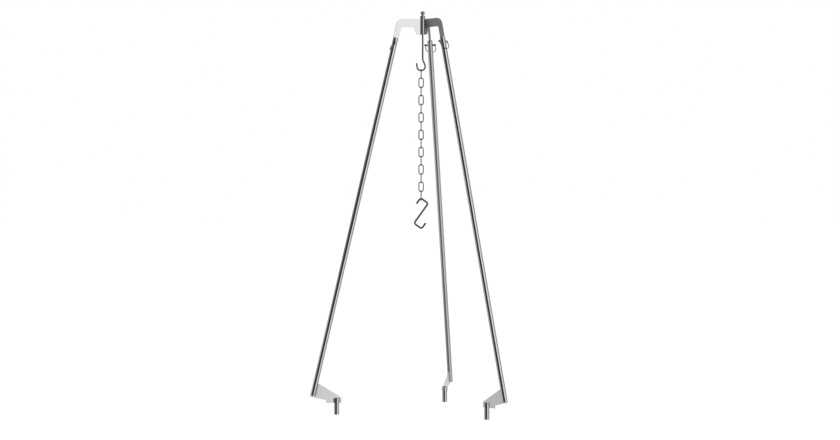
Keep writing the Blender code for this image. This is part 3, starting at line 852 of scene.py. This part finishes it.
class TRIPOD_OT_s_hook(bpy.types.Operator):
    """Makes the S hook with its two squared bends"""
    bl_idname = "tripod.s_hook"
    bl_label = "S Hook"

    def execute(self, context):
        sizes, finish = context.scene.tripod_chain, context.scene.tripod_finish
        gap = context.scene.tripod_legs.clearance
        side, along = sizes.s_width - sizes.s_bend, sizes.s_half - sizes.s_bend
        tilt = math.atan2(side, along)
        seat = Vector(JOINTS["s_hook_swing"]["pos_m"])
        bend_below_seat = sizes.s_bend - sizes.s_wire / 2 - sizes.wire / 2 - gap
        middle = seat - UP * (bend_below_seat + math.hypot(side, along))
        across = ACROSS * math.cos(tilt) - UP * math.sin(tilt)
        up = ACROSS * math.sin(tilt) + UP * math.cos(tilt)
        start = middle - across * sizes.s_width + up * (sizes.s_half - sizes.s_tip)
        tip, cross, quarter = sizes.s_tip - sizes.s_bend, sizes.s_width - 2 * sizes.s_bend, math.pi / 2
        moves = [run(tip), bend(sizes.s_bend, -quarter), run(cross), bend(sizes.s_bend, -quarter), run(2 * along),
                 bend(sizes.s_bend, quarter), run(cross), bend(sizes.s_bend, quarter), run(tip)]
        hook = bent_wire("squared_s_hook", sizes.s_wire / 2, start, up, across.cross(up),
                         with_ends(moves, sizes.s_wire / 2))
        # Painted shade: the S hook's colour is darkened to stand in for the dark surroundings it mirrors.
        drawn = steel("drawn_s_hook", finish.shade_darkened_wire, finish.wire_roughness, S_HOOK_GRAIN,
                      directions(across, DEPTH, up))
        dress(hook, "s_hook", drawn, "bright_wire", "s_hook")
        return {"FINISHED"}


def bead(start, end, sizes):
    """One weld bead, a row of small ripples from one point to another."""
    line = end - start
    count = max(2, round(line.length / sizes.ripple))
    pitch = line.length / count
    moves = [run(0.0, BEAD_START)]
    for _ in range(count):
        moves += [run(RIPPLE_RISE * pitch), run(RIPPLE_CREST * pitch, CREST_SIZE)]
        moves.append(run(RIPPLE_FALL * pitch, sizes.dip))
    moves.append(run(BEAD_TAIL * pitch, BEAD_END))
    aside = line.orthogonal().normalized()
    return bent_wire("bead", sizes.bead, start, line, aside, moves)


def seam_beads(place, out, beside, low, high, sizes):
    """A bead on each side of a plate, along a seam from one height of a place to another."""
    return [bead(place @ Vector((out, side * beside, low + BEAD_INSET)),
                 place @ Vector((out, side * beside, high - BEAD_INSET)), sizes) for side in (1, -1)]


class TRIPOD_OT_welds(bpy.types.Operator):
    """Makes the weld beads at the hub sleeve, the foot plates and the sockets"""
    bl_idname = "tripod.welds"
    bl_label = "Weld Beads"

    def execute(self, context):
        sizes, legs, hub = context.scene.tripod_welds, context.scene.tripod_legs, context.scene.tripod_hub
        feet = context.scene.tripod_feet
        welded = weld_steel("weld_metal", context.scene.tripod_finish)
        beside = legs.plate / 2 + HUB_BEAD_LIFT * sizes.bead
        foot_lift = FOOT_BEAD_LIFT * sizes.bead
        for name in LEGS:
            hub_place = upright_frame(name, "hub_sleeve")
            bottom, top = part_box("hub_sleeve")[0].z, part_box("hub_arm_" + name)[1].z
            root = hub.sleeve / 2 + HUB_BEAD_LIFT * sizes.bead
            beads = seam_beads(hub_place, root, beside, bottom, top, sizes)
            dress(joined("weld_at_hub_" + name, beads), "frame", welded, "turned_steel")

            inward = -math.sqrt((legs.diameter / 2) ** 2 - (legs.plate / 2) ** 2) - foot_lift
            beads = seam_beads(leg_frame(name, legs), inward, beside, 0, legs.slot_height, sizes)
            peg_place = upright_frame(name, "foot_peg_" + name)
            low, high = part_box("foot_socket_" + name)
            rim = feet.socket / 2 + foot_lift
            for end in (1, -1):
                beads += seam_beads(peg_place, end * rim, beside, low.z, high.z, sizes)
            dress(joined("weld_at_foot_" + name, beads), "frame", welded, "turned_steel")
        return {"FINISHED"}


def choose(tree, switches, usual, special):
    """A shader that is special for some kinds of ray, such as the camera's, and usual for all others."""
    path = add_node(tree, "LightPath")
    total = path.outputs[switches[0]]
    for switch in switches[1:]:
        either = add_node(tree, "Math")
        either.operation = "MAXIMUM"
        tree.links.new(total, either.inputs[0])
        tree.links.new(path.outputs[switch], either.inputs[1])
        total = either.outputs["Value"]
    mix = add_node(tree, "MixShader")
    tree.links.new(total, mix.inputs["Fac"])
    tree.links.new(usual, mix.inputs[1])
    tree.links.new(special, mix.inputs[2])
    return mix.outputs["Shader"]


def both(tree, one, other):
    """Two shaders added together."""
    total = add_node(tree, "AddShader")
    tree.links.new(one, total.inputs[0])
    tree.links.new(other, total.inputs[1])
    return total.outputs["Shader"]


def studio_material(name):
    """A material with nothing on its surface yet, its node tree, and the socket of its surface."""
    made = bpy.data.materials.new(name)
    made.use_nodes = True
    made.node_tree.nodes.clear()
    output = add_node(made.node_tree, "OutputMaterial")
    return made, made.node_tree, output.inputs["Surface"]


def coordinates(tree):
    """The sockets with a point's X, Y and Z."""
    place = add_node(tree, "TexCoord")
    split = add_node(tree, "SeparateXYZ")
    tree.links.new(place.outputs["Object"], split.inputs["Vector"])
    return split.outputs


def studio_world(settings):
    """Even light from all round, which the camera and metal see as plain white."""
    world = bpy.data.worlds.new("studio_world")
    world.use_nodes = True
    tree = world.node_tree
    tree.nodes.clear()
    ambient = add_node(tree, "Background", Color=WHITE, Strength=settings.ambient)
    white = add_node(tree, "Background", Color=WHITE)
    output = add_node(tree, "OutputWorld")
    seen = choose(tree, ("Is Camera Ray", "Is Glossy Ray", "Is Transmission Ray"), ambient.outputs["Background"],
                  white.outputs["Background"])
    tree.links.new(seen, output.inputs["Surface"])
    bpy.context.scene.world = world


def ring_of_panels(tree, panels, glow):
    """Brightness by the direction from the tripod's middle: a ring of light and dark panels."""
    point = coordinates(tree)
    backwards = add_node(tree, "Math")
    backwards.operation = "MULTIPLY"
    backwards.inputs[1].default_value = -1
    around = add_node(tree, "Math")
    around.operation = "ARCTAN2"
    ramp = add_node(tree, "ValToRGB")
    stops = ramp.color_ramp.elements
    while len(stops) < len(panels):
        stops.new(0.5)
    for stop, (degrees, level) in zip(stops, panels):
        stop.position = (degrees + 180) / 360
        stop.color = (level * glow, level * glow, level * glow, 1)
    link = tree.links.new
    link(point["Y"], backwards.inputs[0])
    link(point["X"], around.inputs[0])
    link(backwards.outputs["Value"], around.inputs[1])
    link(map_range(tree, around.outputs["Value"], -math.pi, math.pi), ramp.inputs["Fac"])
    return ramp.outputs["Color"]


def studio_floor(settings):
    """A wide pale floor: near white to the camera with a faint shadow, and a dim mirror of the tent to metal."""
    clear_selection()
    bpy.ops.mesh.primitive_grid_add(x_subdivisions=FLOOR_PARTS, y_subdivisions=FLOOR_PARTS, size=FLOOR_SIZE,
                                    location=(0, 0, -FLOOR_DROP))
    floor = settle(bpy.context.active_object)
    floor.name = "studio_floor"
    paint, tree, surface = studio_material("pale_floor")
    link = tree.links.new
    matt = add_node(tree, "BsdfDiffuse", Color=PALE)
    white = add_node(tree, "Emission", Strength=settings.floor_white)
    shade = add_node(tree, "BsdfDiffuse", Color=(*[settings.floor_shadow] * 3, 1))
    shown = both(tree, white.outputs["Emission"], shade.outputs["BSDF"])

    sheen = add_node(tree, "LayerWeight", Blend=EVEN_BLEND).outputs["Facing"]
    begins, full = settings.floor_sheen_from, settings.floor_sheen_to
    dull = add_node(tree, "Emission")
    link(map_range(tree, sheen, begins, full, settings.floor_dull, 0), dull.inputs["Strength"])
    mirror = add_node(tree, "BsdfGlossy", Roughness=0.0)
    link(map_range(tree, sheen, begins, full, settings.floor_mirror, settings.floor_glance), mirror.inputs["Color"])
    mirrored = both(tree, dull.outputs["Emission"], mirror.outputs["BSDF"])

    plain = choose(tree, ("Is Camera Ray", "Is Transmission Ray"), matt.outputs["BSDF"], shown)
    link(choose(tree, ("Is Glossy Ray",), plain, mirrored), surface)
    floor.data.materials.append(paint)


def ceiling_cloth(settings):
    """Light behind the tripod, dim towards the camera."""
    cloth, tree, surface = studio_material("ceiling_cloth")
    reach = CEILING_FADE * settings.tent_radius
    glow = add_node(tree, "Emission")
    level = map_range(tree, coordinates(tree)["Y"], HUB.y - reach, HUB.y + reach, settings.ceiling_front,
                      settings.ceiling)
    tree.links.new(level, glow.inputs["Strength"])
    tree.links.new(glow.outputs["Emission"], surface)
    return cloth


def wall_cloth(settings):
    """A ring of panels, which fades into a ring of its own near the floor."""
    cloth, tree, surface = studio_material("tent_panels")
    rings = add_node(tree, "Mix")
    rings.data_type = "RGBA"
    glow = add_node(tree, "Emission")
    link = tree.links.new
    link(map_range(tree, coordinates(tree)["Z"], settings.low_from, settings.low_to), rings.inputs["Factor"])
    link(ring_of_panels(tree, LOW_PANELS, settings.tent_glow), rings.inputs["A"])
    link(ring_of_panels(tree, TENT_PANELS, settings.tent_glow), rings.inputs["B"])
    link(rings.outputs["Result"], glow.inputs["Color"])
    link(glow.outputs["Emission"], surface)
    return cloth


def hang_cloth(name, cloth):
    """Makes the active object a part of the tent, which is seen in reflections alone."""
    obj = settle(bpy.context.active_object)
    obj.name = name
    obj.data.materials.append(cloth)
    obj.visible_camera = False
    obj.visible_diffuse = False
    obj.visible_shadow = False
    obj.visible_transmission = False


def studio_tent(settings):
    """A round tent of light and dark panels."""
    clear_selection()
    bpy.ops.mesh.primitive_cylinder_add(vertices=TENT_SIDES, radius=settings.tent_radius,
                                        depth=settings.tent_height, end_fill_type="NOTHING",
                                        location=(HUB.x, HUB.y, settings.tent_height / 2))
    hang_cloth("studio_tent", wall_cloth(settings))
    clear_selection()
    bpy.ops.mesh.primitive_circle_add(vertices=TENT_SIDES, radius=settings.tent_radius, fill_type="NGON",
                                      location=(HUB.x, HUB.y, settings.tent_height))
    hang_cloth("studio_ceiling", ceiling_cloth(settings))


class TRIPOD_OT_studio(bpy.types.Operator):
    """Makes the floor, the light tent, the soft key light and the camera"""
    bl_idname = "tripod.studio"
    bl_label = "Studio"

    def execute(self, context):
        settings = context.scene.tripod_studio
        studio_world(settings)
        studio_floor(settings)
        studio_tent(settings)
        clear_selection()
        right, back, height = KEY_PLACE
        bpy.ops.object.light_add(type="AREA", location=(HUB.x + right, HUB.y + back, height))
        key = context.active_object
        key.name = "soft_key"
        key.data.shape = "DISK"
        key.data.size = KEY_SIZE
        key.data.energy = settings.key_power
        key.visible_glossy = False
        target = Vector((HUB.x, HUB.y, KEY_TARGET_HEIGHT))
        key.rotation_euler = (target - key.location).to_track_quat("-Z", "Y").to_euler()
        bpy.ops.object.camera_add(location=(HUB.x - settings.left, HUB.y - settings.distance, settings.height),
                                  rotation=(math.pi / 2 - settings.pitch, 0, 0))
        camera = context.active_object
        camera.name = "photo_camera"
        camera.data.lens = settings.lens
        camera.data.sensor_width = SENSOR_WIDTH
        camera.data.clip_end = CAMERA_REACH
        context.scene.camera = camera
        context.scene.view_settings.view_transform = "Standard"
        return {"FINISHED"}


class TRIPOD_PT_panel(bpy.types.Panel):
    """Lists what the tripod is built from."""
    bl_idname = "TRIPOD_PT_panel"
    bl_label = "Cooking Tripod"
    bl_space_type = "VIEW_3D"
    bl_region_type = "UI"
    bl_category = "Tripod"

    def draw(self, context):
        for step in STEPS:
            self.layout.operator(step.bl_idname)
        for attribute, group in GROUPS.items():
            box = self.layout.box()
            box.label(text=group.__doc__)
            settings = getattr(context.scene, attribute)
            for key in group.__annotations__:
                box.prop(settings, key)


GROUPS = {
    "tripod_legs": TripodLegSizes,
    "tripod_hub": TripodHubSizes,
    "tripod_hook": TripodHookSizes,
    "tripod_pins": TripodPinSizes,
    "tripod_feet": TripodFootSizes,
    "tripod_chain": TripodChainSizes,
    "tripod_welds": TripodWeldSizes,
    "tripod_finish": TripodFinish,
    "tripod_studio": TripodStudio,
}
STEPS = (TRIPOD_OT_leg_tubes, TRIPOD_OT_hub, TRIPOD_OT_swivel, TRIPOD_OT_lock_pins, TRIPOD_OT_feet, TRIPOD_OT_chain,
         TRIPOD_OT_s_hook, TRIPOD_OT_welds, TRIPOD_OT_studio)


def register():
    """Adds the sizes, the operators and the panel to Blender."""
    for group in GROUPS.values():
        bpy.utils.register_class(group)
    for attribute, group in GROUPS.items():
        setattr(bpy.types.Scene, attribute, bpy.props.PointerProperty(type=group))
    for step in STEPS:
        bpy.utils.register_class(step)
    bpy.utils.register_class(TRIPOD_PT_panel)


def unregister():
    """Takes them away again."""
    bpy.utils.unregister_class(TRIPOD_PT_panel)
    for step in reversed(STEPS):
        bpy.utils.unregister_class(step)
    for attribute in GROUPS:
        delattr(bpy.types.Scene, attribute)
    for group in reversed(GROUPS.values()):
        bpy.utils.unregister_class(group)


def main():
    """Builds every piece and the studio."""
    register()
    bpy.ops.tripod.leg_tubes()
    bpy.ops.tripod.hub()
    bpy.ops.tripod.swivel()
    bpy.ops.tripod.lock_pins()
    bpy.ops.tripod.feet()
    bpy.ops.tripod.chain()
    bpy.ops.tripod.s_hook()
    bpy.ops.tripod.welds()
    bpy.ops.tripod.studio()


if __name__ == "__main__":
    main()
